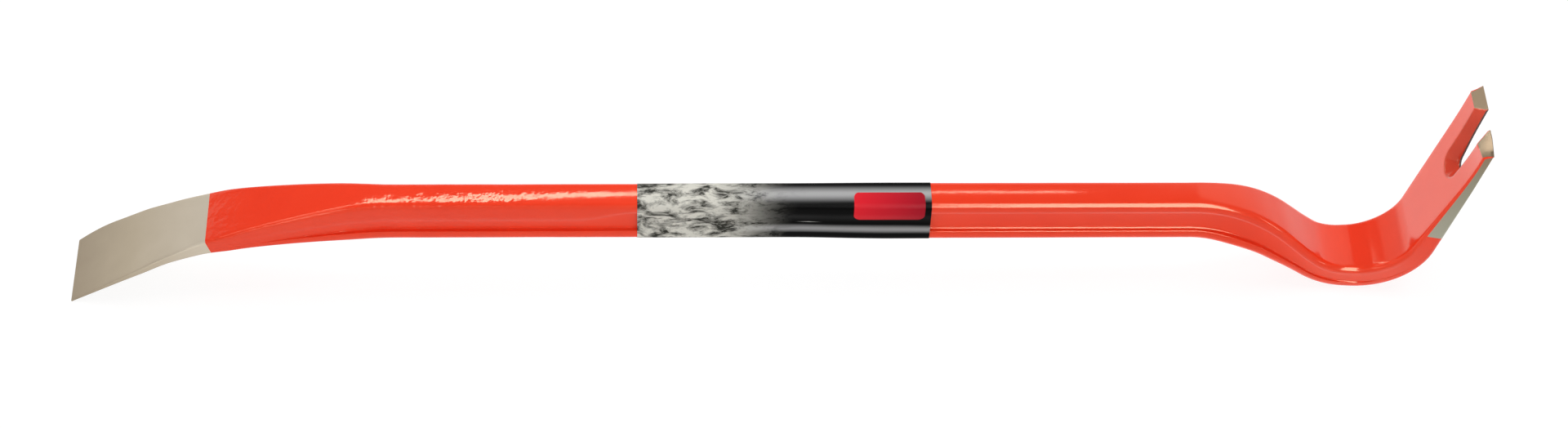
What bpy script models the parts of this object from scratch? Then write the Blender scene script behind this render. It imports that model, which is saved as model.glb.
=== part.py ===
"""Gooseneck wrecking bar: one forging in I-section steel, with a film label wrapped round its shaft.

The bar stands as it does on a floor, on its chisel edge and on the heel of its gooseneck.
+X runs along the shaft towards the claw, +Y goes across it and +Z is up. The origin lies on the
floor, below the middle of the bar's length. Lengths are in metres and angles in degrees.

The forging follows one line, its spine, from the chisel's edge to the claw's tips. The spine is a
chain of straights and arcs, and a section is set square to it at each station: an I-section along
the shaft, which the smith spreads and thins into a blade at one end and into a claw at the other.
"""

import math

import bmesh
import bpy
from mathutils import Vector

# Overall
OVERALL_LENGTH = 0.800          # from the chisel's edge to the claw's tips, along the shaft

# Rolled I-section of the shaft
SHAFT_DEPTH = 0.0300            # over both flanges, at their edges
SHAFT_WIDTH = 0.0180            # across a flange
FLANGE_CROWN = 0.0004           # rise of a flange's middle over its edges
FLANGE_CORNER = 0.0030          # radius along a flange's edges
GROOVE_DEPTH = 0.0026           # of the channel in each side
GROOVE_OPENING = 0.0086         # of the channel, between the flanges' edges
GROOVE_FLOOR = 0.0054           # flat of the web, between its fillets

# Chisel
CHISEL_BEND_RADIUS = 0.196
CHISEL_LEAD_RADIUS = 0.485      # wider bend that leads from the shaft into the chisel's
CHISEL_LEAD_ANGLE = 7.9         # turn of this wider bend
BLADE_STRAIGHT = 0.044          # straight run that ends in the edge
BLADE_LENGTH = 0.068            # thin part, which the forged taper runs into
BLADE_THICKNESS = 0.0055        # where the thin part starts
BLADE_WIDTH = 0.0437            # there too
CHISEL_WIDTH = 0.0495           # at the edge
CHISEL_EDGE = 0.0009            # thickness left at the edge
CHISEL_THIN_LAG = 0.010         # the shaft starts to thin this far past the place where it starts to spread
CHISEL_BARE_LENGTH = 0.0905     # bare steel, from the edge

# Gooseneck
NECK_ANGLE = 38.2               # the neck dips this far below the line of the shaft
NECK_RADIUS = 0.080
NECK_STRAIGHT = 0.027
NECK_THIN_LEAD = 0.0265         # the shaft keeps its depth this far into the neck
NECK_THIN_LENGTH = 0.050
NECK_SPREAD_LEAD = 0.008        # and its width this far
NECK_SPREAD_LENGTH = 0.060
HEEL_RADIUS = 0.0375
HEEL_FLAT = 0.003               # lowest stretch, which the bar stands on
HEEL_THICKNESS = 0.0170
HEEL_WIDTH = 0.0315             # where the neck has spread

# Claw
CLAW_ANGLE = 76.4               # of the claw above the line of the shaft
CLAW_STRAIGHT = 0.0935
CLAW_TAPER_LEAD = 0.0205        # the claw starts to thin this far past the heel's flat
CLAW_THICKNESS = 0.0057         # of the tines
CLAW_WIDTH = 0.0518             # over both tips
TINE_LENGTH = 0.020             # stretch up to the tips that keeps the tines' thickness
TIP_BEVEL = 0.0052              # length of the bevel on the inner face, at the tips
TIP_EDGE = 0.0004               # thickness left at the tips
CLAW_BARE_LENGTH = 0.080        # bare steel on the outer face and the sides, from the tips

# Nail slot between the tines
SLOT_LENGTH = 0.0425            # in the outer face, from the tips
SLOT_ROOT_WIDTH = 0.0092
SLOT_TIP_WIDTH = 0.0155
SLOT_LAND = 0.0012              # height of the upright wall next to the outer face
SLOT_COUNTERSINK = 0.0045       # the slot is this much wider, all round, in the inner face

# Edges and run-outs
CLAW_CORNER = 0.0012            # radius along the edges of the claw's inner face
GROUND_CORNER = 0.0004          # radius that grinding leaves
CORNER_SHARE = 0.35             # most of a part's thickness that one corner may take
FORGED_EASE = 0.011             # half of the length over which the end of a taper is rounded off
CHISEL_GROOVE_LEAD = 0.040      # the grooves start to fade this far ahead of the chisel's bend
CHISEL_GROOVE_FADE = 0.076
HEEL_GROOVE_LEAD = 0.049        # and this far into the neck
HEEL_GROOVE_FADE = 0.090

# Label
LABEL_LENGTH = 0.167
LABEL_MIDDLE = 0.007            # place of the label's middle, along the bar
LABEL_FILM = 0.00025
LABEL_CLEARANCE = 0.0003        # between the film and the steel
LABEL_LAP = 0.008               # width of the film's glued lap, on the back of the shaft

# Fineness of the mesh
FORGED_STEP = 0.0068            # spacing of the stations where the section changes
HEEL_STEP = 0.0042              # their spacing round the heel
FACE_STEPS = 3                  # from the middle of a face to its corner
CORNER_STEPS = 3
FILLET_STEPS = 4                # from a groove's lip to its floor
ROOT_STEPS = 14                 # round the end of the nail slot
CUTTER_MARGIN = 0.0035          # by which the slot's cutter passes the faces that it cuts
SMOOTH_ANGLE = 35.0             # edges that turn more than this stay sharp

ENAMEL_SLOT = 0
STEEL_SLOT = 1


def clear_scene():
    for thing in list(bpy.data.objects):
        bpy.data.objects.remove(thing)


def make_material(name, colour, roughness, metallic):
    """A plain finish, with its colour in linear light."""
    material = bpy.data.materials.new(name)
    material.use_nodes = True
    shader = material.node_tree.nodes["Principled BSDF"]
    shader.inputs["Base Color"].default_value = (*colour, 1.0)
    shader.inputs["Roughness"].default_value = roughness
    shader.inputs["Metallic"].default_value = metallic
    material.diffuse_color = (*colour, 1.0)
    return material


def rounded_ramp(distance, ease):
    """Zero below 0 and the distance above it, with the corner between them rounded off."""
    if distance <= -ease:
        return 0.0
    if distance >= ease:
        return distance
    return (distance + ease) ** 2 / (4 * ease)


def taper(distance, start, end, ease=FORGED_EASE):
    """From 0 at the start to 1 at the end, straight, with rounded ends."""
    return (rounded_ramp(distance - start, ease) - rounded_ramp(distance - end, ease)) / (end - start)


def smooth_step(share):
    return share * share * (3 - 2 * share)


class Spine:
    """The line that the forging follows, in the XZ plane, measured from the chisel's edge."""

    def __init__(self):
        neck = math.radians(NECK_ANGLE)
        claw = math.radians(CLAW_ANGLE)
        self.shaft_height = (HEEL_THICKNESS / 2 + HEEL_RADIUS * (1 - math.cos(neck))
                             + NECK_STRAIGHT * math.sin(neck) + NECK_RADIUS * (1 - math.cos(neck)))
        # The chisel's bend turns until the edge meets the floor that the heel stands on.
        lead = math.radians(CHISEL_LEAD_ANGLE)
        lead_drop = CHISEL_LEAD_RADIUS * (1 - math.cos(lead))
        bend_arm = CHISEL_BEND_RADIUS - CHISEL_EDGE / 2
        bend_centre = self.shaft_height - lead_drop - CHISEL_BEND_RADIUS * math.cos(lead)
        dip = (math.atan2(bend_arm, BLADE_STRAIGHT)
               + math.asin(bend_centre / math.hypot(bend_arm, BLADE_STRAIGHT)))
        edge_lean = CHISEL_EDGE / 2 * math.sin(dip)
        chisel_reach = (edge_lean + BLADE_STRAIGHT * math.cos(dip) + CHISEL_LEAD_RADIUS * math.sin(lead)
                        + CHISEL_BEND_RADIUS * (math.sin(dip) - math.sin(lead)))
        gooseneck_reach = ((NECK_RADIUS + HEEL_RADIUS) * math.sin(neck) + NECK_STRAIGHT * math.cos(neck)
                           + HEEL_FLAT + HEEL_RADIUS * math.sin(claw) + CLAW_STRAIGHT * math.cos(claw)
                           + CLAW_THICKNESS / 2 * math.sin(claw))
        runs = [
            ("blade", BLADE_STRAIGHT, 0.0),
            ("chisel_bend", CHISEL_BEND_RADIUS * (dip - lead), lead - dip),
            ("chisel_lead", CHISEL_LEAD_RADIUS * lead, -lead),
            ("shaft", OVERALL_LENGTH - chisel_reach - gooseneck_reach, 0.0),
            ("neck_bend", NECK_RADIUS * neck, -neck),
            ("neck", NECK_STRAIGHT, 0.0),
            ("heel_entry", HEEL_RADIUS * neck, neck),
            ("heel_flat", HEEL_FLAT, 0.0),
            ("heel_exit", HEEL_RADIUS * claw, claw),
            ("claw", CLAW_STRAIGHT, 0.0),
        ]
        self.start = Vector((edge_lean - OVERALL_LENGTH / 2, 0, CHISEL_EDGE / 2 * math.cos(dip)))
        self.start_angle = dip
        self.runs = []
        self.end = {}
        self.length = 0.0
        for name, length, turn in runs:
            self.runs.append((self.length, length, turn))
            self.length += length
            self.end[name] = self.length

    def place(self, distance):
        """The point at a distance along the spine, and the spine's angle there.

        Past the tips of the claw the last straight goes on.
        """
        point = self.start.copy()
        angle = self.start_angle
        for run_start, length, turn in self.runs:
            run = max(distance - run_start, 0.0)
            if run_start < self.runs[-1][0]:
                run = min(run, length)
            half_turn = turn * run / length / 2
            chord = run * math.sin(half_turn) / half_turn if half_turn else run
            point += chord * Vector((math.cos(angle + half_turn), 0, math.sin(angle + half_turn)))
            angle += 2 * half_turn
        return point, angle

    def locate(self, distance, across, height):
        """The point at a distance along the spine, across the bar and square off the spine."""
        point, angle = self.place(distance)
        return point + Vector((-height * math.sin(angle), across, height * math.cos(angle)))


class Forging:
    """How the section of the bar changes along the spine."""

    def __init__(self, spine):
        self.spine = spine
        self.shaft_start = spine.end["chisel_lead"]
        self.shaft_end = spine.end["shaft"]
        self.neck_spread_end = self.shaft_end + NECK_SPREAD_LEAD + NECK_SPREAD_LENGTH

    def thinned_to_edge(self, distance):
        return rounded_ramp(BLADE_LENGTH - distance, FORGED_EASE) / BLADE_LENGTH

    def thinned_to_blade(self, distance):
        return 1 - taper(distance, BLADE_LENGTH, self.shaft_start - CHISEL_THIN_LAG)

    def spread_to_blade(self, distance):
        return 1 - taper(distance, BLADE_LENGTH, self.shaft_start)

    def thinned_to_heel(self, distance):
        start = self.shaft_end + NECK_THIN_LEAD
        return taper(distance, start, start + NECK_THIN_LENGTH)

    def spread_to_heel(self, distance):
        return taper(distance, self.shaft_end + NECK_SPREAD_LEAD, self.neck_spread_end)

    def spread_to_tips(self, distance):
        return rounded_ramp(distance - self.neck_spread_end, FORGED_EASE) / (self.spine.length - self.neck_spread_end)

    def thinned_to_claw(self, distance):
        return taper(distance, self.spine.end["heel_flat"] + CLAW_TAPER_LEAD, self.spine.length - TINE_LENGTH)

    def thickness(self, distance):
        return (SHAFT_DEPTH
                + (BLADE_THICKNESS - SHAFT_DEPTH) * self.thinned_to_blade(distance)
                + (CHISEL_EDGE - BLADE_THICKNESS) * self.thinned_to_edge(distance)
                + (HEEL_THICKNESS - SHAFT_DEPTH) * self.thinned_to_heel(distance)
                + (CLAW_THICKNESS - HEEL_THICKNESS) * self.thinned_to_claw(distance))

    def width(self, distance):
        return (SHAFT_WIDTH
                + (BLADE_WIDTH - SHAFT_WIDTH) * self.spread_to_blade(distance)
                + (CHISEL_WIDTH - BLADE_WIDTH) * self.thinned_to_edge(distance)
                + (HEEL_WIDTH - SHAFT_WIDTH) * self.spread_to_heel(distance)
                + (CLAW_WIDTH - HEEL_WIDTH) * self.spread_to_tips(distance))

    def rolled_share(self, distance):
        """1 where the bar keeps its rolled grooves, and 0 where it is forged flat."""
        fade_start = self.shaft_start + CHISEL_GROOVE_LEAD
        chisel_fade = 1 - taper(distance, fade_start - CHISEL_GROOVE_FADE, fade_start)
        heel_start = self.shaft_end + HEEL_GROOVE_LEAD
        return max(0.0, 1 - chisel_fade - taper(distance, heel_start, heel_start + HEEL_GROOVE_FADE))

    def corners(self, distance):
        """The radii along the edges of the upper and the lower face."""
        ground = self.thinned_to_blade(distance)
        drawn = self.thinned_to_claw(distance)
        upper = FLANGE_CORNER + (GROUND_CORNER - FLANGE_CORNER) * ground + (CLAW_CORNER - FLANGE_CORNER) * drawn
        lower = FLANGE_CORNER + (GROUND_CORNER - FLANGE_CORNER) * max(ground, drawn)
        return upper, lower

    def half_section(self, distance):
        """The section's +Y half, from the middle of the upper face down to that of the lower."""
        half_width = self.width(distance) / 2
        thickness = self.thickness(distance)
        bevel = taper(distance, self.spine.length - TIP_BEVEL, self.spine.length, ease=0)
        upper = thickness / 2 - (thickness - TIP_EDGE) * bevel
        lower = thickness / 2
        most = CORNER_SHARE * (upper + lower)
        upper_corner, lower_corner = (min(corner, most) for corner in self.corners(distance))
        rolled = self.rolled_share(distance)
        crown = FLANGE_CROWN * min(rolled, 1 - self.thinned_to_heel(distance))
        top = face_and_corner(half_width, upper, crown, upper_corner)
        bottom = face_and_corner(half_width, lower, crown, lower_corner)
        side_top = upper - upper_corner
        side_bottom = lower_corner - lower
        side_middle = (side_top + side_bottom) / 2
        lip = min(GROOVE_OPENING / SHAFT_DEPTH * thickness, CORNER_SHARE * 2 * (side_top - side_bottom)) / 2
        groove = []
        for step in range(FILLET_STEPS + 1):
            share = step / FILLET_STEPS
            height = lip * (1 + (GROOVE_FLOOR / GROOVE_OPENING - 1) * share)
            groove.append((half_width - GROOVE_DEPTH * rolled * smooth_step(share), height))
        side = [(across, side_middle + height) for across, height in groove]
        side += [(across, side_middle - height) for across, height in reversed(groove)]
        return top + side + [(across, -height) for across, height in reversed(bottom)]

    def stations(self):
        """Distances of the sections, close together wherever the bar bends or changes."""
        spine = self.spine
        fade_start = self.shaft_start + CHISEL_GROOVE_LEAD + FORGED_EASE
        chisel_marks = [0, BLADE_STRAIGHT, CHISEL_BARE_LENGTH, self.shaft_start, fade_start]
        neck_marks = [self.shaft_end, spine.end["neck_bend"], spine.end["neck"]]
        heel_marks = [spine.end["neck"], spine.end["heel_entry"], spine.end["heel_flat"], spine.end["heel_exit"]]
        claw_marks = [spine.end["heel_exit"], spine.length - CLAW_BARE_LENGTH, spine.length - TIP_BEVEL,
                      spine.length]
        distances = {round(mark, 7)
                     for marks, step in ((chisel_marks, FORGED_STEP), (neck_marks, FORGED_STEP),
                                         (heel_marks, HEEL_STEP), (claw_marks, FORGED_STEP))
                     for mark in divided(marks, step)}
        return sorted(distances)


def face_and_corner(half_width, height, crown, corner):
    """From the middle of a crowned face, over its rounded edge, to the start of the side."""
    flat = half_width - corner
    points = []
    for step in range(FACE_STEPS):
        share = step / FACE_STEPS
        points.append((flat * share, height + crown * (1 - share * share)))
    for step in range(CORNER_STEPS + 1):
        angle = math.pi / 2 * step / CORNER_STEPS
        points.append((flat + corner * math.sin(angle), height - corner + corner * math.cos(angle)))
    return points


def divided(marks, step):
    """The marks, with enough even divisions between them that no gap exceeds the step."""
    marks = sorted(marks)
    points = []
    for start, end in zip(marks, marks[1:]):
        count = math.ceil((end - start) / step)
        points += [start + (end - start) * part / count for part in range(count)]
    return points + [marks[-1]]


def mirrored_ring(half):
    """A closed outline from its +Y half, whose first and last points lie on the middle plane."""
    return half + [(-across, height) for across, height in reversed(half[1:-1])]


def skin(mesh, rings):
    """Quads between neighbouring rings of equally many points."""
    strips = []
    for near, far in zip(rings, rings[1:]):
        count = len(near)
        strips.append([mesh.faces.new((near[index - 1], near[index], far[index], far[index - 1]))
                       for index in range(count)])
    return strips


def finish_mesh(mesh, name, materials):
    """Turns a bmesh into an object with its faces pointing out and its round parts smooth."""
    bmesh.ops.recalc_face_normals(mesh, faces=mesh.faces)
    data = bpy.data.meshes.new(name)
    mesh.to_mesh(data)
    mesh.free()
    for material in materials:
        data.materials.append(material)
    data.shade_smooth()
    data.set_sharp_from_angle(angle=math.radians(SMOOTH_ANGLE))
    thing = bpy.data.objects.new(name, data)
    bpy.context.collection.objects.link(thing)
    return thing


def make_bar(forging, materials):
    """The forging before its nail slot is cut."""
    spine = forging.spine
    distances = forging.stations()
    mesh = bmesh.new()
    rings = []
    for distance in distances:
        ring = mirrored_ring(forging.half_section(distance))
        rings.append([mesh.verts.new(spine.locate(distance, across, height)) for across, height in ring])
    strips = skin(mesh, rings)
    painted_over = FACE_STEPS + CORNER_STEPS
    for distance, strip in zip(distances, strips):
        for index, face in enumerate(strip):
            # The face that ends at point 1 is the first one from the middle of the upper face.
            from_middle = min((index - 1) % len(strip), -index % len(strip))
            blade = distance < CHISEL_BARE_LENGTH - FORGED_STEP / 100
            claw = distance > spine.length - CLAW_BARE_LENGTH - FORGED_STEP / 100
            tip = distance > spine.length - TIP_BEVEL - FORGED_STEP / 100
            if blade or tip or (claw and from_middle >= painted_over):
                face.material_index = STEEL_SLOT
    for ring in (rings[0], rings[-1]):
        mesh.faces.new(ring).material_index = STEEL_SLOT
    return finish_mesh(mesh, "forged_bar", materials)


def slot_outline(length, root_width, tip_width):
    """The slot's U, as places back from the tips and across the claw, from one tip to the other."""
    radius = root_width / 2
    root = length - radius
    flare = (tip_width - root_width) / 2 / root
    open_end = -CUTTER_MARGIN
    side = [(open_end, radius + flare * (root - open_end))]
    side += [(root * part / FACE_STEPS, radius + flare * root * (1 - part / FACE_STEPS))
             for part in range(1, FACE_STEPS)]
    arc = [(root + radius * math.sin(math.pi * step / ROOT_STEPS),
            radius * math.cos(math.pi * step / ROOT_STEPS)) for step in range(ROOT_STEPS + 1)]
    return side + arc + [(back, -across) for back, across in reversed(side)]


def make_slot_cutter(forging, material):
    """The nail slot's shape: upright next to the claw's outer face, then splayed to the inner one."""
    spine = forging.spine
    outer = slot_outline(SLOT_LENGTH, SLOT_ROOT_WIDTH, SLOT_TIP_WIDTH)
    inner = slot_outline(SLOT_LENGTH + SLOT_COUNTERSINK, SLOT_ROOT_WIDTH + 2 * SLOT_COUNTERSINK,
                         SLOT_TIP_WIDTH + 2 * SLOT_COUNTERSINK)
    mesh = bmesh.new()
    below = []
    land = []
    above = []
    for (back, across), (splayed_back, splayed_across) in zip(outer, inner):
        distance = spine.length - back
        face_height = -forging.thickness(distance) / 2
        start = spine.locate(distance, across, face_height + SLOT_LAND)
        splayed_distance = spine.length - splayed_back
        end = spine.locate(splayed_distance, splayed_across, forging.thickness(splayed_distance) / 2)
        wall = end - start
        below.append(mesh.verts.new(spine.locate(distance, across, face_height - CUTTER_MARGIN)))
        land.append(mesh.verts.new(start))
        above.append(mesh.verts.new(end + wall * CUTTER_MARGIN / wall.length))
    skin(mesh, [below, land, above])
    mesh.faces.new(below)
    mesh.faces.new(above)
    cutter = finish_mesh(mesh, "slot_cutter", [material])
    cutter.hide_render = True
    cutter.display_type = "WIRE"
    return cutter


def cut_slot(bar, cutter):
    slot = bar.modifiers.new("nail_slot", "BOOLEAN")
    slot.operation = "DIFFERENCE"
    slot.solver = "EXACT"
    slot.object = cutter


def label_ring(offset, lap_extra, shift):
    """The film's outline at an offset from the steel; it stands out by the extra at its lap."""
    face = face_and_corner(SHAFT_WIDTH / 2 + offset, SHAFT_DEPTH / 2 + offset, FLANGE_CROWN, FLANGE_CORNER + offset)
    side = SHAFT_WIDTH / 2 + offset
    lap = [(side, LABEL_LAP / 2 + LABEL_FILM), (side + lap_extra, LABEL_LAP / 2)]
    back = face + lap + [(across, -height) for across, height in reversed(face + lap)]
    front = [(-across, -height) for across, height in face[1:]]
    front += [(across, -height) for across, height in reversed(front)]
    return [Vector((shift, across, height)) for across, height in back + front]


def make_label(spine, material):
    """A printed film pulled taut round the shaft, so that it bridges the grooves."""
    mesh = bmesh.new()
    half = LABEL_LENGTH / 2
    outer = LABEL_CLEARANCE + LABEL_FILM
    loops = [label_ring(LABEL_CLEARANCE, 0, -half), label_ring(LABEL_CLEARANCE, 0, half),
             label_ring(outer, LABEL_FILM, half), label_ring(outer, LABEL_FILM, -half)]
    rings = [[mesh.verts.new(point) for point in loop] for loop in loops]
    skin(mesh, rings + [rings[0]])
    label = finish_mesh(mesh, "label_sleeve", [material])
    label.location = (LABEL_MIDDLE, 0, spine.shaft_height)
    return label


def main():
    clear_scene()
    enamel = make_material("red_gloss_enamel", (0.86, 0.042, 0.013), roughness=0.16, metallic=0.0)
    steel = make_material("ground_steel", (0.52, 0.45, 0.36), roughness=0.42, metallic=1.0)
    film = make_material("printed_film", (0.035, 0.035, 0.035), roughness=0.2, metallic=0.0)
    spine = Spine()
    forging = Forging(spine)
    bar = make_bar(forging, [enamel, steel])
    cut_slot(bar, make_slot_cutter(forging, enamel))
    label = make_label(spine, film)
    whole = bpy.data.objects.new("wrecking_bar", None)
    bpy.context.collection.objects.link(whole)
    bar.parent = whole
    label.parent = whole


main()
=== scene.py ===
"""Looks of the gooseneck wrecking bar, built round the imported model. Lengths are in metres.

The forging is lofted again from the same driving dimensions, with fine sections, rounded edges, the
slight unevenness that the hammer leaves, and a nail slot whose walls and lips are modelled. The label
is a thin film that sags into the side grooves. Both pieces stand in for their CAD nodes.
"""

import math
from functools import partial

import bmesh
import bpy
import numpy as np
from mathutils import Matrix, Vector, noise


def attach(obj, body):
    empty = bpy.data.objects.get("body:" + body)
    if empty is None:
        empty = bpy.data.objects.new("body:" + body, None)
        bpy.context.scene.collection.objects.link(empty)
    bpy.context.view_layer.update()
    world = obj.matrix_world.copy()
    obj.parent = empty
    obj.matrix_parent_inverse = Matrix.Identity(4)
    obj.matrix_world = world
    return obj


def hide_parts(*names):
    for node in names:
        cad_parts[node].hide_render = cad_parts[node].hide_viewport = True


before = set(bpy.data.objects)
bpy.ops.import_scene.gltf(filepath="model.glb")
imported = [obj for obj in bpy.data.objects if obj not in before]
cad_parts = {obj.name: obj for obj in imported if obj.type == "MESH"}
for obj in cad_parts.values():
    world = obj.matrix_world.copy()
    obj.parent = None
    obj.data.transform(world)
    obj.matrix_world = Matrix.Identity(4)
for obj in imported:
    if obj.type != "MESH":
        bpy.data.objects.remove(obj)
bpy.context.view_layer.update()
MILLIMETRE = 0.001

# Overall and shaft
OVERALL_LENGTH = 0.800
SHAFT_DEPTH = 0.0300
SHAFT_WIDTH = 0.0180
FLANGE_CROWN = 0.0004
FLANGE_CORNER = 0.0030
FLANGE_SIDE_CROWN = 0.0003      # the rolled edge of each flange is slightly barrelled
GROOVE_DEPTH = 0.0026
GROOVE_OPENING = 0.0164
GROOVE_FLOOR = 0.0130
GROOVE_LIP = 0.0005             # radius of a groove's lip
GROOVE_FILLET = 0.0009          # and of the fillet along its floor
FLANGE_CORNER_DROP = 1.15       # a flange's rounded edge reaches this much further down than across

# Chisel
CHISEL_BEND_RADIUS = 0.196
CHISEL_LEAD_RADIUS = 0.485
CHISEL_LEAD_ANGLE = math.radians(7.9)
BLADE_STRAIGHT = 0.044
BLADE_LENGTH = 0.068
BLADE_THICKNESS = 0.0055
BLADE_WIDTH = 0.0437
CHISEL_WIDTH = 0.0495
CHISEL_EDGE = 0.0009
CHISEL_THIN_LAG = 0.010
CHISEL_BARE_LENGTH = 0.0905

# Gooseneck
NECK_ANGLE = math.radians(38.2)
NECK_RADIUS = 0.080
NECK_STRAIGHT = 0.027
NECK_THIN_LEAD = 0.0265
NECK_THIN_LENGTH = 0.050
NECK_SPREAD_LEAD = 0.008
NECK_SPREAD_LENGTH = 0.060
HEEL_RADIUS = 0.0375
HEEL_FLAT = 0.003
HEEL_THICKNESS = 0.0170
HEEL_WIDTH = 0.0315

# Claw
CLAW_ANGLE = math.radians(76.4)
CLAW_STRAIGHT = 0.0935
CLAW_TAPER_LEAD = 0.0205
CLAW_THICKNESS = 0.0057
CLAW_WIDTH = 0.0518
TINE_LENGTH = 0.020
TIP_BEVEL = 0.0052
TIP_EDGE = 0.0004
CLAW_BARE_LENGTH = 0.080

# Nail slot
SLOT_LENGTH = 0.0425
SLOT_ROOT_WIDTH = 0.0092
SLOT_TIP_WIDTH = 0.0155
SLOT_LAND = 0.0012
SLOT_COUNTERSINK = 0.0045
SLOT_LIP = 0.0007               # radius that the paint gives the slot's edge in the inner face
SLOT_LIP_MOST = 0.45            # but no more than this share of the wall
CLAW_ROOT_BACK = 0.056          # the claw is one piece behind this distance from the tips

# Edges and run-outs
CLAW_CORNER = 0.0012
GROUND_CORNER = 0.0011
CORNER_SHARE = 0.35             # a corner takes up at most this share of the thickness
FORGED_EASE = 0.011
CHISEL_GROOVE_LEAD = -0.006     # the grooves are full from here on, past the start of the shaft
CHISEL_GROOVE_FADE = 0.069      # and run out towards the chisel over this length
CHISEL_FORGED_REACH = 0.041     # the sections lie closer together up to here, past that start
GROOVE_LOW_SHARE = 0.17         # towards the chisel the upper lip keeps this share of its height
GROOVE_LOW_END = 0.148          # it is up again here, past the start of the shaft
GROOVE_LOW_EASE = 0.035         # having risen over this length
HEEL_GROOVE_LEAD = 0.049        # the grooves start to run out this far past the end of the shaft
HEEL_GROOVE_FADE = 0.090        # and are gone after this length

# Label
LABEL_LENGTH = 0.167
LABEL_MIDDLE = 0.007
LABEL_GAP = 0.00006             # glue between the film and the steel
LABEL_FILM = 0.00014
LABEL_LAP = 0.008
LABEL_SAG = 0.0011              # how far the film sinks into each groove
SAG_AT_END = 0.75               # it sinks by this share of that at the label's ends
SAG_EASE = 0.012                # and fully at this distance from them
SAG_WANDER = 0.3                # the sag wanders by this share, from hollow to hollow
SAG_HOLLOW = 0.021
SAG_NOISE_ROW = 3.7

# Fineness
STATION_STEP = 0.0016
SHAFT_STEP = 0.0030
FAN_STEP = 0.0012
FACE_STEPS = 10
CORNER_STEPS = 6
FLANGE_STEPS = 5
GROOVE_STEPS = 9
WALL_STEPS = 4
LIP_STEPS = 3
TINE_STEPS = 9
LABEL_STEP = 0.0025
TOUCH = TIP_EDGE / 100          # places closer than this along the bar are the same
WELD_REACH = 0.000002           # and so are points closer than this
SHARP_ANGLE = math.radians(40)

# What the smith left uneven
SHAFT_TWIST = math.radians(1.0)
SHAFT_SWELL = 0.078             # towards the claw the shaft is wider by this share
SHAFT_BOW = 0.00042             # and bows this much to the front
SWELL_EASE = 0.060              # from the shaft's middle on, over this length
EDGE_TRIM = 0.0044              # ground off the far end of the edge
EDGE_TRIM_LENGTH = 0.027
WAIST_START = 0.046             # the blade is drawn in from here on, for this length
WAIST_LENGTH = 0.038
WAIST_EASE = 0.020
WAIST_FAR = 0.0008
WAIST_NEAR = 0.0013
TINE_BEND = 0.00175             # the near tine's tip leans this far inwards
TINE_SKEW = 0.0049              # its edge is ground askew by this much, over half the claw's width
TINE_SKEW_PIVOT = 0.55          # about the place at this share of that half
BEVEL_SKEW = 0.0043             # and its bevel starts askew, the other way
BEVEL_SKEW_PIVOT = 1.07
BEVEL_SKEW_REACH = 2.0          # which is lost over this many lengths of the bevel
WEAR_DEPTH = 0.00005            # hammer and grinder left the surface this low
WEAR_RANGE = 0.00006            # give or take this, at most by the share below
WEAR_MOST = 0.8
HOLLOW = 0.034                  # in hollows of this size
SMALL_HOLLOW = 0.014            # and in smaller ones, half as deep

# Order of the forging's materials; the last two are painted shade, on the slot's land and on its walls
ENAMEL = 0
STEEL = 1
LAND_SHADE = 2
SHADED_ENAMEL = 3

# Along the bar the hammer's dents fade between these places, down to this share
DENTS_FADE = (0.24, 0.34)
DENTS_LEFT = 0.12

# Tint that tempering leaves in the bare steel, by distance from the chisel's edge
TEMPER_TINTS = [
    (0.000, "#AC9D88"),
    (0.040, "#C2B49D"),
    (0.090, "#DDD1BE"),
    (0.820, "#B9B7A4"),
    (0.880, "#A8A28C"),
    (0.900, "#A38F76"),
]
TINT_WANDER = 0.020             # the tints' bounds wander over this length

# Print on the label: where the stone runs into black along the bar, and how raggedly
BLACK_FADE = (-0.008, 0.038)
BLACK_RAGGED = 0.05
# Painted highlights: soft grey bands along the black, one over the top and one low on each side: axis,
# middle, reach
HIGHLIGHT_BANDS = [
    ("Y", -0.0009, 0.0072, "#AAAAAA"),
    ("Z", 0.0452, 0.0036, "#969696"),
]
# Thin pale rules on the front: the middle and half length of each
RULES = [(-0.0525, 0.0060), (0.0210, 0.0085)]
RULE_HEIGHT = 0.0500
RULE_WIDTH = 0.0003
# A red field on the front that reaches from the side on to the top: along X, and by Y and Z together
FIELD_MIDDLE = (0.0666, 0.0550, 0.0)
FIELD_REACH = (0.0202, 0.0114, 0.0)
FIELD_CORNER = 0.004
FIELD_EDGE = 0.05               # its edge is soft over this share of the corner, to each side

# Studio, where plain white is a level of 1
FLOOR_REACH = 9.0
FLOOR_GLOW = 0.86
PAPER_LIGHTING = "#E7E7E7"      # the paper as it throws light at the bar
PAPER_SEEN = "#7C7C7C"          # and as it is seen, on top of the glow
# Levels of the floor and the walls as they meet the bar, not the camera: the axis, between which two
# places the level changes, and the levels before and after. None keeps what the rows above say.
# Places are in metres on the floor, and parts of a direction on the walls.
# On the floor these levels are painted light and shade where the bar mirrors the paper: a painted pool of
# light behind the claw, a painted shadow right in front of the bar, and painted shade round the chisel.
FLOOR_PAINTED_LEVELS = [
    ("X", 0.15, 0.25, None, 1.7),       # behind the claw
    ("X", 0.34, 0.42, None, 1.0),       # and beyond it
    ("Y", -0.06, -0.01, 0.55, None),    # right in front of the bar
    ("X", -0.30, -0.16, 0.72, None),    # round the chisel
]
WALL_LEVELS = [
    ("X", -0.62, -0.38, 0.92, None),    # on the chisel's side
    ("Y", -0.92, -0.62, 0.50, None),    # in front
]
CLAW_WALL_LEVELS = [("Y", 0.42, 0.54, 0.40, 1.2)]
CLAW_WALL = [("X", 0.15, 0.20, 0.0, 1.0)]   # where the claw's wall takes over
CLAW_WALL_RISE = 0.32                       # which reaches this much higher
WALL_TOP = 0.44
CEILING_START = 0.54
CEILING_LEVEL = 0.25

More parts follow.
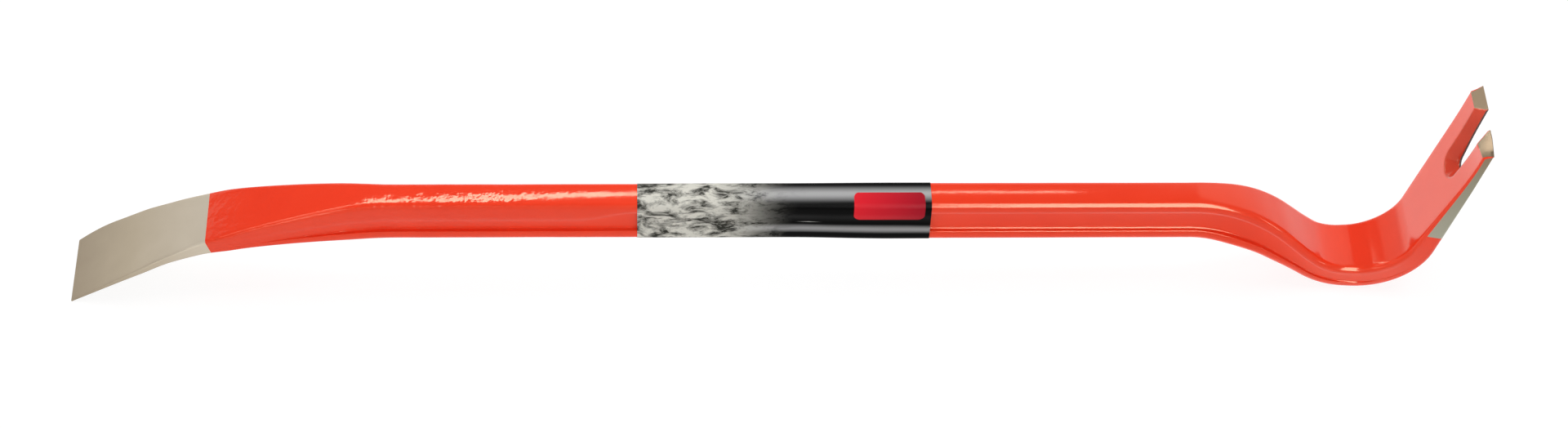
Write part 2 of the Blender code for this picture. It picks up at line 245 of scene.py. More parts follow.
# Each softbox is a strip between two points: its middle line, its width, its radiance, and whether
# it is there to be mirrored, for lighting, or for both. It faces a line at the height below.
SOFTBOX_AIM = 0.05
SOFTBOXES = [
    ("strip_behind_chisel", (-0.31, 0.227, 0.622), (-0.0765, 0.386, 0.52), 0.072, 14.0, "both"),
    ("strip_over_chisel", (-0.62, 0.16, 0.62), (-0.31, 0.215, 0.622), 0.05, 8.0, "mirrored"),
    ("panel_over_chisel", (-1.70, -0.10, 1.50), (-0.55, -0.10, 1.50), 0.90, 1.5, "mirrored"),
    ("strip_behind_shaft", (-0.077, 0.204, 0.280), (0.212, 0.204, 0.280), 0.0125, 11.0, "mirrored"),
    ("panel_overhead", (-0.25, 0.30, 2.0), (1.6, 0.30, 2.0), 0.80, 3.5, "lighting"),
    ("panel_front", (-0.6, -3.4, 1.6), (1.7, -3.4, 1.6), 1.20, 4.2, "lighting"),
    ("panel_front_claw", (0.80, -0.60, 3.60), (0.80, -3.8, 0.35), 0.80, 12.5, "mirrored"),
    ("panel_right", (3.1, -2.6, 0.2), (3.1, -2.0, 1.6), 0.50, 9.0, "mirrored"),
    ("panel_front_chisel", (-0.60, -1.40, 1.70), (-0.60, -2.15, 0.40), 0.30, 3.0, "both"),
]

# Camera, in degrees and metres
CAMERA_TURN = -2.64
CAMERA_LIFT = 50.09
CAMERA_ROLL = -0.1281
CAMERA_AIM = (0.00732, -0.00021, 0.04731)
CAMERA_DISTANCE = 1.9
CAMERA_LENS = 76.33

# Settings that several shader nodes share
SMOOTH = {"interpolation_type": "SMOOTHSTEP"}
COLOURS = {"data_type": "RGBA"}


def linear(hex_colour):
    """An sRGB hex colour in linear light, with full alpha."""
    channels = [int(hex_colour[place:place + 2], 16) / 255 for place in (1, 3, 5)]
    return [c / 12.92 if c <= 0.04045 else ((c + 0.055) / 1.055) ** 2.4 for c in channels] + [1.0]


def set_inputs(node, **inputs):
    """Sets a node's inputs to values, or links them to sockets or to the first output of nodes.

    In an input's name, _ stands for a space. _ and a number is the input at that place.
    """
    for name, value in inputs.items():
        socket = node.inputs[int(name[1:]) if name[0] == "_" else name.replace("_", " ")]
        if isinstance(value, bpy.types.Node):
            value = next(output for output in value.outputs if output.enabled)
        if isinstance(value, bpy.types.NodeSocket):
            node.id_data.links.new(value, socket)
        else:
            socket.default_value = value


def add_node(nodes, kind, settings=None, **inputs):
    """A shader node. Its settings are the name of its operation or a dictionary."""
    node = nodes.new("ShaderNode" + kind)
    if isinstance(settings, str):
        settings = {"operation": settings}
    for name, value in (settings or {}).items():
        setattr(node, name, value)
    set_inputs(node, **inputs)
    return node


def layered_levels(add, axes, rows):
    """A level that changes from place to place, each row laid over the rows before it."""
    level = 1.0
    for axis, start, end, before, after in rows:
        level = add("MapRange", SMOOTH, Value=axes.outputs[axis], From_Min=start, From_Max=end,
                    To_Min=level if before is None else before, To_Max=level if after is None else after)
    return level


def new_material(name):
    """A material, the function that adds a node to it, and its shader."""
    material = bpy.data.materials.new(name)
    material.use_nodes = True
    nodes = material.node_tree.nodes
    return material, partial(add_node, nodes), nodes["Principled BSDF"]


def add_object(name, data):
    thing = bpy.data.objects.new(name, data)
    bpy.context.collection.objects.link(thing)
    return thing


def rounded_ramp(distance, ease):
    """Zero below 0 and the distance above it, with the corner between them rounded off."""
    eased = (distance + ease) ** 2 / (4 * ease)
    return np.where(distance <= -ease, 0.0, np.where(distance >= ease, distance, eased))


def smooth_step(share):
    share = np.clip(share, 0.0, 1.0)
    return share * share * (3 - 2 * share)


def taper(distance, start, end):
    """From 0 at the start to 1 at the end, straight, with rounded ends."""
    risen = rounded_ramp(distance - start, FORGED_EASE) - rounded_ramp(distance - end, FORGED_EASE)
    return risen / (end - start)


class Spine:
    """The line that the forging follows in the XZ plane, measured from the chisel's edge."""

    def __init__(self):
        shaft_height = (HEEL_THICKNESS / 2 + (HEEL_RADIUS + NECK_RADIUS) * (1 - math.cos(NECK_ANGLE))
                        + NECK_STRAIGHT * math.sin(NECK_ANGLE))
        lead_drop = CHISEL_LEAD_RADIUS * (1 - math.cos(CHISEL_LEAD_ANGLE))
        bend_arm = CHISEL_BEND_RADIUS - CHISEL_EDGE / 2
        bend_centre = shaft_height - lead_drop - CHISEL_BEND_RADIUS * math.cos(CHISEL_LEAD_ANGLE)
        dip = (math.atan2(bend_arm, BLADE_STRAIGHT)
               + math.asin(bend_centre / math.hypot(bend_arm, BLADE_STRAIGHT)))
        edge_lean = CHISEL_EDGE / 2 * math.sin(dip)
        chisel_reach = (edge_lean + BLADE_STRAIGHT * math.cos(dip)
                        + CHISEL_LEAD_RADIUS * math.sin(CHISEL_LEAD_ANGLE)
                        + CHISEL_BEND_RADIUS * (math.sin(dip) - math.sin(CHISEL_LEAD_ANGLE)))
        gooseneck_reach = ((NECK_RADIUS + HEEL_RADIUS) * math.sin(NECK_ANGLE)
                           + NECK_STRAIGHT * math.cos(NECK_ANGLE) + HEEL_FLAT
                           + HEEL_RADIUS * math.sin(CLAW_ANGLE) + CLAW_STRAIGHT * math.cos(CLAW_ANGLE)
                           + CLAW_THICKNESS / 2 * math.sin(CLAW_ANGLE))
        runs = [
            ("blade", BLADE_STRAIGHT, 0.0),
            ("chisel_bend", CHISEL_BEND_RADIUS * (dip - CHISEL_LEAD_ANGLE), CHISEL_LEAD_ANGLE - dip),
            ("chisel_lead", CHISEL_LEAD_RADIUS * CHISEL_LEAD_ANGLE, -CHISEL_LEAD_ANGLE),
            ("shaft", OVERALL_LENGTH - chisel_reach - gooseneck_reach, 0.0),
            ("neck_bend", NECK_RADIUS * NECK_ANGLE, -NECK_ANGLE),
            ("neck", NECK_STRAIGHT, 0.0),
            ("heel_entry", HEEL_RADIUS * NECK_ANGLE, NECK_ANGLE),
            ("heel_flat", HEEL_FLAT, 0.0),
            ("heel_exit", HEEL_RADIUS * CLAW_ANGLE, CLAW_ANGLE),
            ("claw", CLAW_STRAIGHT, 0.0),
        ]
        self.start = (edge_lean - OVERALL_LENGTH / 2, CHISEL_EDGE / 2 * math.cos(dip))
        self.start_angle = dip
        self.runs = []
        self.end = {}
        self.length = 0.0
        for name, length, turn in runs:
            self.runs.append((self.length, length, turn))
            self.length += length
            self.end[name] = self.length

    def locate(self, distance, across, height):
        """Points at distances along the spine, across the bar and square off the spine."""
        x = np.full_like(distance, self.start[0])
        z = np.full_like(distance, self.start[1])
        angle = np.full_like(distance, self.start_angle)
        for run_start, length, turn in self.runs:
            run = np.clip(distance - run_start, 0.0, length)
            half_turn = turn * run / length / 2
            chord = run * np.sinc(half_turn / math.pi)
            x += chord * np.cos(angle + half_turn)
            z += chord * np.sin(angle + half_turn)
            angle += 2 * half_turn
        return np.stack([x - height * np.sin(angle), across, z + height * np.cos(angle)], axis=-1)


def groove_wall():
    """From a groove's lip to its floor: a rounded lip, a straight wall and a fillet.

    Gives shares of the groove's depth and of half its opening, without the lip's own first point.
    """
    height = (GROOVE_OPENING - GROOVE_FLOOR) / 2
    round_parts = GROOVE_LIP + GROOVE_FILLET
    lean = (math.asin(round_parts / math.hypot(height, GROOVE_DEPTH - round_parts))
            + math.atan2(GROOVE_DEPTH - round_parts, height))
    turn = np.linspace(0, lean, GROOVE_STEPS // 2 + 1)[None, :]
    lip_depth = GROOVE_LIP * (1 - np.cos(turn))
    lip_fall = GROOVE_LIP * np.sin(turn)
    back = turn[:, ::-1]
    floor_depth = GROOVE_DEPTH - GROOVE_FILLET * (1 - np.cos(back))
    floor_fall = height - GROOVE_FILLET * np.sin(back)
    return (joined(lip_depth[:, 1:], floor_depth) / GROOVE_DEPTH,
            joined(lip_fall[:, 1:], floor_fall) / (GROOVE_OPENING / 2))


class Forging:
    """How the section of the bar changes along the spine."""

    def __init__(self, spine):
        self.spine = spine
        self.shaft_start = spine.end["chisel_lead"]
        self.shaft_end = spine.end["shaft"]
        self.neck_spread_end = self.shaft_end + NECK_SPREAD_LEAD + NECK_SPREAD_LENGTH

    def thinned_to_edge(self, distance):
        return rounded_ramp(BLADE_LENGTH - distance, FORGED_EASE) / BLADE_LENGTH

    def thinned_to_blade(self, distance):
        return 1 - taper(distance, BLADE_LENGTH, self.shaft_start - CHISEL_THIN_LAG)

    def spread_to_blade(self, distance):
        return 1 - taper(distance, BLADE_LENGTH, self.shaft_start)

    def thinned_to_heel(self, distance):
        start = self.shaft_end + NECK_THIN_LEAD
        return taper(distance, start, start + NECK_THIN_LENGTH)

    def spread_to_heel(self, distance):
        return taper(distance, self.shaft_end + NECK_SPREAD_LEAD, self.neck_spread_end)

    def spread_to_tips(self, distance):
        spreading = self.spine.length - self.neck_spread_end
        return rounded_ramp(distance - self.neck_spread_end, FORGED_EASE) / spreading

    def thinned_to_claw(self, distance):
        start = self.spine.end["heel_flat"] + CLAW_TAPER_LEAD
        return taper(distance, start, self.spine.length - TINE_LENGTH)

    def thickness(self, distance):
        return (SHAFT_DEPTH
                + (BLADE_THICKNESS - SHAFT_DEPTH) * self.thinned_to_blade(distance)
                + (CHISEL_EDGE - BLADE_THICKNESS) * self.thinned_to_edge(distance)
                + (HEEL_THICKNESS - SHAFT_DEPTH) * self.thinned_to_heel(distance)
                + (CLAW_THICKNESS - HEEL_THICKNESS) * self.thinned_to_claw(distance))

    def half_width(self, distance):
        return (SHAFT_WIDTH
                + (BLADE_WIDTH - SHAFT_WIDTH) * self.spread_to_blade(distance)
                + (CHISEL_WIDTH - BLADE_WIDTH) * self.thinned_to_edge(distance)
                + (HEEL_WIDTH - SHAFT_WIDTH) * self.spread_to_heel(distance)
                + (CLAW_WIDTH - HEEL_WIDTH) * self.spread_to_tips(distance)) / 2

    def rolled_share(self, distance):
        """1 where the bar keeps its rolled grooves, and 0 where it is forged flat."""
        full = self.shaft_start + CHISEL_GROOVE_LEAD
        chisel_fade = 1 - taper(distance, full - CHISEL_GROOVE_FADE, full)
        heel_start = self.shaft_end + HEEL_GROOVE_LEAD
        heel_fade = taper(distance, heel_start, heel_start + HEEL_GROOVE_FADE)
        return np.maximum(0.0, 1 - chisel_fade - heel_fade)

    def upper(self, distance):
        """Height of the upper face over the spine; the tips' bevel is ground into it."""
        thickness = self.thickness(distance)
        bevel = np.clip((distance - self.spine.length + TIP_BEVEL) / TIP_BEVEL, 0, 1)
        return thickness / 2 - (thickness - TIP_EDGE) * bevel

    def edges(self, distance):
        """Everything that a section's outline needs, at each distance."""
        ground = self.thinned_to_blade(distance)
        drawn = self.thinned_to_claw(distance)
        upper = self.upper(distance)
        lower = self.thickness(distance) / 2
        most = CORNER_SHARE * (upper + lower)
        rolled = self.rolled_share(distance)
        upper_corner = (FLANGE_CORNER + (GROUND_CORNER - FLANGE_CORNER) * ground
                        + (CLAW_CORNER - FLANGE_CORNER) * drawn)
        lower_corner = FLANGE_CORNER + (GROUND_CORNER - FLANGE_CORNER) * np.maximum(ground, drawn)
        return {
            "half_width": self.half_width(distance), "upper": upper, "lower": lower, "rolled": rolled,
            "crown": FLANGE_CROWN * np.minimum(rolled, 1 - self.thinned_to_heel(distance)),
            "upper_corner": np.minimum(upper_corner, most),
            "lower_corner": np.minimum(lower_corner, most),
        }

    def uneven(self, distance, across, height):
        """The same points with what the smith left: a swell, a twist, a waisted blade and an odd tine."""
        half_width = self.half_width(distance)
        middle = (self.shaft_start + self.shaft_end) / 2
        heel = smooth_step((distance - self.shaft_end - NECK_THIN_LEAD) / NECK_THIN_LENGTH)
        towards_claw = smooth_step((distance - middle) / SWELL_EASE) * (1 - heel)
        twist = SHAFT_TWIST * towards_claw
        waist = (smooth_step((distance - WAIST_START) / WAIST_EASE)
                 - smooth_step((distance - WAIST_START - WAIST_LENGTH) / WAIST_EASE))
        edge_trim = EDGE_TRIM * np.clip(1 - distance / EDGE_TRIM_LENGTH, 0, 1) ** 2
        trim = waist * np.where(across > 0, WAIST_FAR, WAIST_NEAR) + np.where(across > 0, edge_trim, 0)
        across = across * (1 - trim / half_width) * (1 + SHAFT_SWELL * towards_claw)
        across = across - SHAFT_BOW * towards_claw
        back = self.spine.length - distance
        near_tine = (across < 0) & (back < SLOT_LENGTH)
        outward = -across / half_width
        height = height + near_tine * TINE_BEND * (1 - back / SLOT_LENGTH) ** 2
        bevels = np.maximum(back, 0) / TIP_BEVEL
        edge_skew = TINE_SKEW * (TINE_SKEW_PIVOT - outward)
        bevel_skew = BEVEL_SKEW * (outward - BEVEL_SKEW_PIVOT)
        behind_bevel = bevel_skew * (1 - smooth_step((bevels - 1) / BEVEL_SKEW_REACH))
        skew = np.where(bevels < 1, edge_skew * (1 - bevels) + bevel_skew * bevels, behind_bevel)
        return (distance + near_tine * skew,
                across * np.cos(twist) + height * np.sin(twist),
                height * np.cos(twist) - across * np.sin(twist))

    def side_strip(self, distance):
        """From the start of the upper corner over the side to the end of the lower one, at +Y.

        Gives across and height, each with one row per distance.
        """
        section = self.edges(distance[:, None])
        turn = np.linspace(0, math.pi / 2, CORNER_STEPS + 1)[None, :]
        drop = 1 + (FLANGE_CORNER_DROP - 1) * section["rolled"]
        upper_drop = drop * section["upper_corner"]
        lower_drop = drop * section["lower_corner"]
        top_across = section["half_width"] - section["upper_corner"] * (1 - np.sin(turn))
        top_height = section["upper"] - upper_drop * (1 - np.cos(turn))
        bottom_across = section["half_width"] - section["lower_corner"] * (1 - np.cos(turn))
        bottom_height = -section["lower"] + lower_drop * (1 - np.sin(turn))
        side_top = section["upper"] - upper_drop
        side_bottom = lower_drop - section["lower"]
        middle = (side_top + side_bottom) / 2
        lip = np.minimum(GROOVE_OPENING / SHAFT_DEPTH * section["lower"],
                         CORNER_SHARE * (side_top - side_bottom))
        risen = smooth_step((distance[:, None] - self.shaft_start - GROOVE_LOW_END) / GROOVE_LOW_EASE + 1)
        high_lip = lip * (GROOVE_LOW_SHARE + (1 - GROOVE_LOW_SHARE) * risen)
        centre = middle + (high_lip - lip) / 2
        opening = (high_lip + lip) / 2
        # From the corner to the groove's lip, then from the lip into the groove, and the same from below.
        share = np.linspace(0, 1, FLANGE_STEPS + 1)[None, 1:]
        lip_inset = FLANGE_SIDE_CROWN * section["rolled"]
        flange = lip_inset * np.maximum(0, 2 * share - 1) ** 2
        into, fall = groove_wall()
        groove = lip_inset + (GROOVE_DEPTH * section["rolled"] - lip_inset) * into
        half_across = section["half_width"] - joined(flange, groove)
        wall = opening * (1 - fall)
        above, below = (joined(side * (1 - share) + opening * share, wall)
                        for side in (side_top - centre, centre - side_bottom))
        across = [top_across, half_across, half_across[:, ::-1], bottom_across]
        height = [top_height, centre + above, centre - below[:, ::-1], bottom_height]
        return joined(*across), joined(*height)

    def face_row(self, distance, side):
        """Points across the upper (side 1) or lower (side -1) face, between its corners, -Y to +Y."""
        section = self.edges(distance[:, None])
        name = "upper" if side > 0 else "lower"
        share = np.linspace(-1, 1, 2 * FACE_STEPS + 1)[None, :]
        return ((section["half_width"] - section[name + "_corner"]) * share,
                side * (section[name] + section["crown"] * (1 - share * share)))


def joined(*grids):
    """Grids of points side by side."""
    return np.concatenate(grids, axis=1)


def divided(marks, step):
    """The marks, with enough even divisions between them that no gap exceeds the step."""
    points = []
    for start, end in zip(marks, marks[1:]):
        count = math.ceil((end - start) / step)
        points += [start + (end - start) * part / count for part in range(count)]
    return points + [marks[-1]]


class Skin:
    """Quads over grids of points, given by distance along the spine, across the bar and height off it."""

    def __init__(self, forging):
        self.forging = forging
        self.points = []
        self.faces = []
        self.finishes = []

    def add_points(self, distance, across, height):
        shape = np.broadcast_shapes(np.shape(distance), np.shape(across), np.shape(height))
        grid = np.stack([np.broadcast_to(value, shape) for value in (distance, across, height)], axis=-1)
        first = sum(len(block) for block in self.points)
        self.points.append(grid.reshape(-1, 3))
        return first + np.arange(grid.size // 3).reshape(shape)

    def sheet(self, distance, across, height, finish, closed=False):
        """A grid of quads, closed round its rows or not. The finish is one index, or one for each quad."""
        index = self.add_points(distance, across, height)
        beside = np.roll(index, -1, axis=1)
        quads = np.stack([index[:-1], beside[:-1], beside[1:], index[1:]], axis=-1)
        if not closed:
            quads = quads[:, :-1]
        self.faces += quads.reshape(-1, 4).tolist()
        self.finishes += np.broadcast_to(finish, quads.shape[:2]).ravel().tolist()
        return index

    def cap(self, ring, finish):
        self.faces.append(ring.tolist())
        self.finishes.append(finish)

    def to_object(self, name, materials, wear):
        """One closed mesh. Its map runs along the spine in metres, so that grain can follow the bar."""
        points = np.concatenate(self.points)
        data = bpy.data.meshes.new(name)
        placed = self.forging.spine.locate(*self.forging.uneven(*points.T))
        data.from_pydata(placed.tolist(), [], self.faces)
        data.polygons.foreach_set("material_index", self.finishes)
        corners = np.zeros(len(data.loops), dtype=np.int32)
        data.loops.foreach_get("vertex_index", corners)
        grain = np.stack([points[:, 0], points[:, 1] + points[:, 2]], axis=-1)[corners]
        data.uv_layers.new(name="grain").data.foreach_set("uv", grain.ravel())
        for material in materials:
            data.materials.append(material)
        mesh = bmesh.new()
        mesh.from_mesh(data)
        bmesh.ops.remove_doubles(mesh, verts=mesh.verts, dist=WELD_REACH)
        bmesh.ops.recalc_face_normals(mesh, faces=mesh.faces)
        mesh.normal_update()
        moves = [vertex.normal * -wear(vertex.co) for vertex in mesh.verts]
        for vertex, move in zip(mesh.verts, moves):
            vertex.co += move
        mesh.to_mesh(data)
        mesh.free()
        data.shade_smooth()
        data.set_sharp_from_angle(angle=SHARP_ANGLE)
        return add_object(name, data)


class Claw:
    """The end of the forging that the nail slot divides, from behind the slot's root to the tips."""

    def __init__(self, forging):
        self.forging = forging
        self.length = forging.spine.length
        self.arc_back = SLOT_LENGTH - SLOT_ROOT_WIDTH / 2
        steps = math.ceil((CLAW_ROOT_BACK - self.arc_back) / FAN_STEP)
        self.side_backs = np.linspace(self.arc_back, CLAW_ROOT_BACK, steps + 1)
        marks = [self.length - self.arc_back, self.length - TIP_BEVEL, self.length]
        self.tine_distances = np.array(divided(marks, STATION_STEP))

    def slot_half_width(self, back):
        """Half of the slot's width in the outer face, at a distance back from the tips."""
        return (SLOT_ROOT_WIDTH + (SLOT_TIP_WIDTH - SLOT_ROOT_WIDTH) * (1 - back / self.arc_back)) / 2

    def surfaces(self, back):
        """Heights of the inner and the outer face over the spine."""
        distance = self.length - back
        return self.forging.upper(distance), -self.forging.thickness(distance) / 2

    def wall_profile(self, turn, back, radius):
        """The slot's wall from its lip in the inner face to its edge in the outer one.

        Each row is one place round the slot: turn is 0 at +Y, a quarter at the root and a half at -Y.
        Gives back, across and height.
        """
        turn, back, radius = (np.asarray(value, float)[:, None] for value in (turn, back, radius))
        upper, lower = self.surfaces(back + (radius + SLOT_COUNTERSINK) * np.sin(turn))
        splayed = np.clip((upper - lower - SLOT_LAND) / (-2 * lower - SLOT_LAND), 0, 1)
        inner = radius + SLOT_COUNTERSINK * splayed
        upper, lower = self.surfaces(back + inner * np.sin(turn))
        foot = self.surfaces(back + radius * np.sin(turn))[1]
        fall = upper - np.minimum(foot + SLOT_LAND, upper)
        run = inner - radius
        # The lip takes up a third of the thickness at most. It curves from the face into the wall.
        lip = np.minimum(SLOT_LIP, (upper - lower) / 3)
        start = np.minimum(lip / (np.hypot(fall, run) + TOUCH), SLOT_LIP_MOST)
        share = np.linspace(0, 1, LIP_STEPS + 1)[None, :]
        face, corner, wall = (1 - share) ** 2, 2 * share * (1 - share), share ** 2
        lip_reach = face * (inner + lip) + corner * inner + wall * (inner - run * start)
        lip_top = self.surfaces(back + (inner + lip) * np.sin(turn))[0]
        lip_height = face * lip_top + corner * upper + wall * (upper - fall * start)
        down = start + (1 - start) * np.linspace(0, 1, WALL_STEPS + 1)[None, 1:]
        reach = joined(lip_reach, inner - run * down, radius)
        height = joined(lip_height, upper - fall * down, foot)
        return back + reach * np.sin(turn), reach * np.cos(turn), height

    def face_reach(self, back, side):
        """How far the flat of the inner (side 1) or outer (side -1) face reaches from the middle."""
        edges = self.forging.edges(self.length - back)
        return edges["half_width"] - (edges["upper_corner"] if side > 0 else edges["lower_corner"])

    def rim(self, side):
        """Round the flat behind the tines, from its +Y side over its base to its -Y side."""
        sides = self.face_reach(self.side_backs, side)
        base = sides[-1] * np.linspace(1, -1, 2 * FACE_STEPS + 1)
        ends = np.full(2 * FACE_STEPS - 1, CLAW_ROOT_BACK)
        return (np.concatenate([self.side_backs, ends, self.side_backs[::-1]]),
                np.concatenate([sides, base[1:-1], -sides[::-1]]))

    def add_root(self, skin):
        """The inner and outer faces round the slot's root, and the wall of the root."""
        share = np.linspace(0, 1, TINE_STEPS + 1)[None, :]
        for side, edge, finish in ((1, 0, ENAMEL), (-1, -1, STEEL)):
            rim_back, rim_across = self.rim(side)
            turn = np.arctan2(rim_back - self.arc_back, rim_across)
            wall = self.wall_profile(turn, np.full_like(turn, self.arc_back),
                                     np.full_like(turn, SLOT_ROOT_WIDTH / 2))
            back = wall[0][:, edge, None] * (1 - share) + rim_back[:, None] * share
            across = wall[1][:, edge, None] * (1 - share) + rim_across[:, None] * share
            skin.sheet(self.length - back, across, self.surfaces(back)[0 if side > 0 else 1], finish)
            if side > 0:
                skin.sheet(self.length - wall[0], wall[1], wall[2], wall_finish(wall[0].shape[1]))

    def add_sides(self, skin):
        """The claw's two long sides beside the slot's root."""
        distance = self.length - self.side_backs
        across, height = self.forging.side_strip(distance)
        for mirror in (1, -1):
            skin.sheet(distance[:, None], mirror * across, height, side_finish(across.shape[1]))

    def add_tines(self, skin):
        distance = self.tine_distances
        back = self.length - distance
        strips = self.forging.side_strip(distance)
        walls = self.wall_profile(np.zeros_like(back), back, self.slot_half_width(back))[1:]
        share = np.linspace(0, 1, TINE_STEPS + 1)[None, :]
        reaches = [walls[0][:, edge, None] * (1 - share) + self.face_reach(back, side)[:, None] * share
                   for side, edge in ((1, 0), (-1, -1))]
        levels = [np.broadcast_to(level[:, None], reaches[0].shape) for level in self.surfaces(back)]
        across, height = (joined(inner, strip[:, 1:], outer[:, -2::-1], wall[:, -2:0:-1])
                          for (inner, outer), strip, wall in zip((reaches, levels), strips, walls))
        painted = np.concatenate([np.full(TINE_STEPS, ENAMEL), side_finish(strips[0].shape[1]),
                                  np.full(TINE_STEPS, STEEL), wall_finish(walls[0].shape[1])[::-1]])
        bevel = (distance[:-1] > self.length - TIP_BEVEL - TOUCH)[:, None]
        finish = np.where(bevel & (np.arange(painted.size) < TINE_STEPS), STEEL, painted)
        for mirror in (1, -1):
            index = skin.sheet(distance[:, None], mirror * across, height, finish, closed=True)
            skin.cap(index[-1], STEEL)


def side_finish(columns):
    """Paint ends where the upper corner turns into the side."""
    return np.where(np.arange(columns - 1) < CORNER_STEPS, ENAMEL, STEEL)


def wall_finish(columns):
    """The slot's walls take the darker red of painted shade, and its land the brown-black of painted shade.
    """
    return np.where(np.arange(columns - 1) < columns - 2, SHADED_ENAMEL, LAND_SHADE)


def add_undivided(skin, forging):
    """The whole bar up to the slot's root, section by section."""
    length = forging.spine.length
    forged_end = forging.shaft_start + CHISEL_FORGED_REACH + FORGED_EASE
    chisel = divided([0.0, CHISEL_BARE_LENGTH, forged_end], STATION_STEP)
    shaft = divided([forged_end, forging.shaft_end], SHAFT_STEP)
    marks = [forging.shaft_end, length - CLAW_BARE_LENGTH, length - CLAW_ROOT_BACK]
    distance = np.array(chisel[:-1] + shaft[:-1] + divided(marks, STATION_STEP))
    rows = forging.face_row(distance, 1), forging.side_strip(distance), forging.face_row(distance, -1)
    across, height = (joined(top, side[:, 1:], bottom[:, -2::-1], mirror * side[:, -2:0:-1])
                      for top, side, bottom, mirror in zip(*rows, (-1, 1)))
    side = side_finish(rows[1][0].shape[1])
    top, bottom = (np.full(2 * FACE_STEPS, finish) for finish in (ENAMEL, STEEL))
    claw_finish = np.concatenate([top, side, bottom, side[::-1]])
    blade = (distance[:-1] < CHISEL_BARE_LENGTH - TOUCH)[:, None]
    claw = (distance[:-1] > length - CLAW_BARE_LENGTH - TOUCH)[:, None]
    finish = np.where(blade, STEEL, np.where(claw, claw_finish[None, :], ENAMEL))
    index = skin.sheet(distance[:, None], across, height, finish, closed=True)
    skin.cap(index[0], STEEL)


def forging_wear(place):
    """How far the hammer and the grinder left the surface below its nominal shape."""
    hollows = noise.noise(place / HOLLOW) + noise.noise(place / SMALL_HOLLOW) / 2
    return WEAR_DEPTH + WEAR_RANGE * max(-WEAR_MOST, min(WEAR_MOST, hollows))


def make_forging(forging, materials):
    skin = Skin(forging)
    claw = Claw(forging)
    add_undivided(skin, forging)
    claw.add_root(skin)
    claw.add_sides(skin)
    claw.add_tines(skin)
    return skin.to_object("bar_forging", materials, forging_wear)


def film_line(forging, sag):
    """The middle of the film's thickness, once round the shaft from under its lap to the lap's edge."""
    section = forging.edges(forging.shaft_end)
    offset = LABEL_GAP + LABEL_FILM / 2
    corner = section["upper_corner"]
    flat = section["half_width"] - corner
    square = section["upper"] - FLANGE_CORNER_DROP * corner
    opening = GROOVE_OPENING / 2
    low = np.linspace(-LABEL_LAP / 2, LABEL_LAP / 2, GROOVE_STEPS)
    side = np.concatenate([np.linspace(-square, -opening, FLANGE_STEPS)[:-1],
                           np.linspace(-opening, opening, 2 * GROOVE_STEPS),
                           np.linspace(opening, square, FLANGE_STEPS)[1:]])
    turn = np.linspace(0, math.pi / 2, CORNER_STEPS + 1)
    top = np.linspace(-1, 1, 2 * FACE_STEPS + 1)[1:-1]

    def bridged(height):
        """The side of the film, sunk into the groove."""
        share = np.clip(np.abs(height) / opening, 0, 1)
        return section["half_width"] + offset - sag * (1 - share * share) ** 2

    arc_across = flat + (corner + offset) * np.cos(turn)
    arc_height = square + (FLANGE_CORNER_DROP * corner + offset) * np.sin(turn)
    face_across = flat * top
    face_height = section["upper"] + offset + section["crown"] * (1 - top * top)
    start = side[side > -LABEL_LAP / 2]
    end = side[side < -LABEL_LAP / 2]
    across = [bridged(start), arc_across, face_across[::-1], -arc_across[::-1], -bridged(side[1:-1]),
              -arc_across, face_across, arc_across[::-1], bridged(end), bridged(low) + LABEL_FILM]
    height = [start, arc_height, face_height, arc_height[::-1], -side[1:-1],
              -arc_height, -face_height, -arc_height[::-1], end, low]
    return np.concatenate(across), np.concatenate(height)


def make_label(forging, material):
    """The film, sunk a little unevenly into the grooves, with its lap on the back."""
    skin = Skin(forging)
    shaft_x = forging.spine.locate(forging.shaft_start, 0.0, 0.0)[0]
    ends = [LABEL_MIDDLE - LABEL_LENGTH / 2, LABEL_MIDDLE + LABEL_LENGTH / 2]
    places = np.array(divided(ends, LABEL_STEP))
    outer, inner = [], []
    for place in places:
        ease = min(1.0, (LABEL_LENGTH / 2 - abs(place - LABEL_MIDDLE)) / SAG_EASE)
        wander = SAG_WANDER * noise.noise(Vector((place / SAG_HOLLOW, SAG_NOISE_ROW, 0.0)))
        line = np.array(film_line(forging, LABEL_SAG * (SAG_AT_END + (1 - SAG_AT_END) * ease + wander)))
        run, rise = np.gradient(line, axis=1)
        outward = np.array([rise, -run]) / np.hypot(run, rise) * LABEL_FILM / 2
        outer.append(line + outward)
        inner.append(line - outward)
    outer, inner = np.array(outer), np.array(inner)
    ring = np.concatenate([outer, inner[:, :, ::-1]], axis=2)
    distance = (forging.shaft_start + places - shaft_x)[:, None]
    skin.sheet(distance, ring[:, 0], ring[:, 1], 0, closed=True)
    for row in (0, -1):
        cut = np.stack([outer[row], inner[row]])
        skin.sheet(distance[row], cut[:, 0], cut[:, 1], 0)
    return skin.to_object("label_film", [material], lambda place: 0.0)


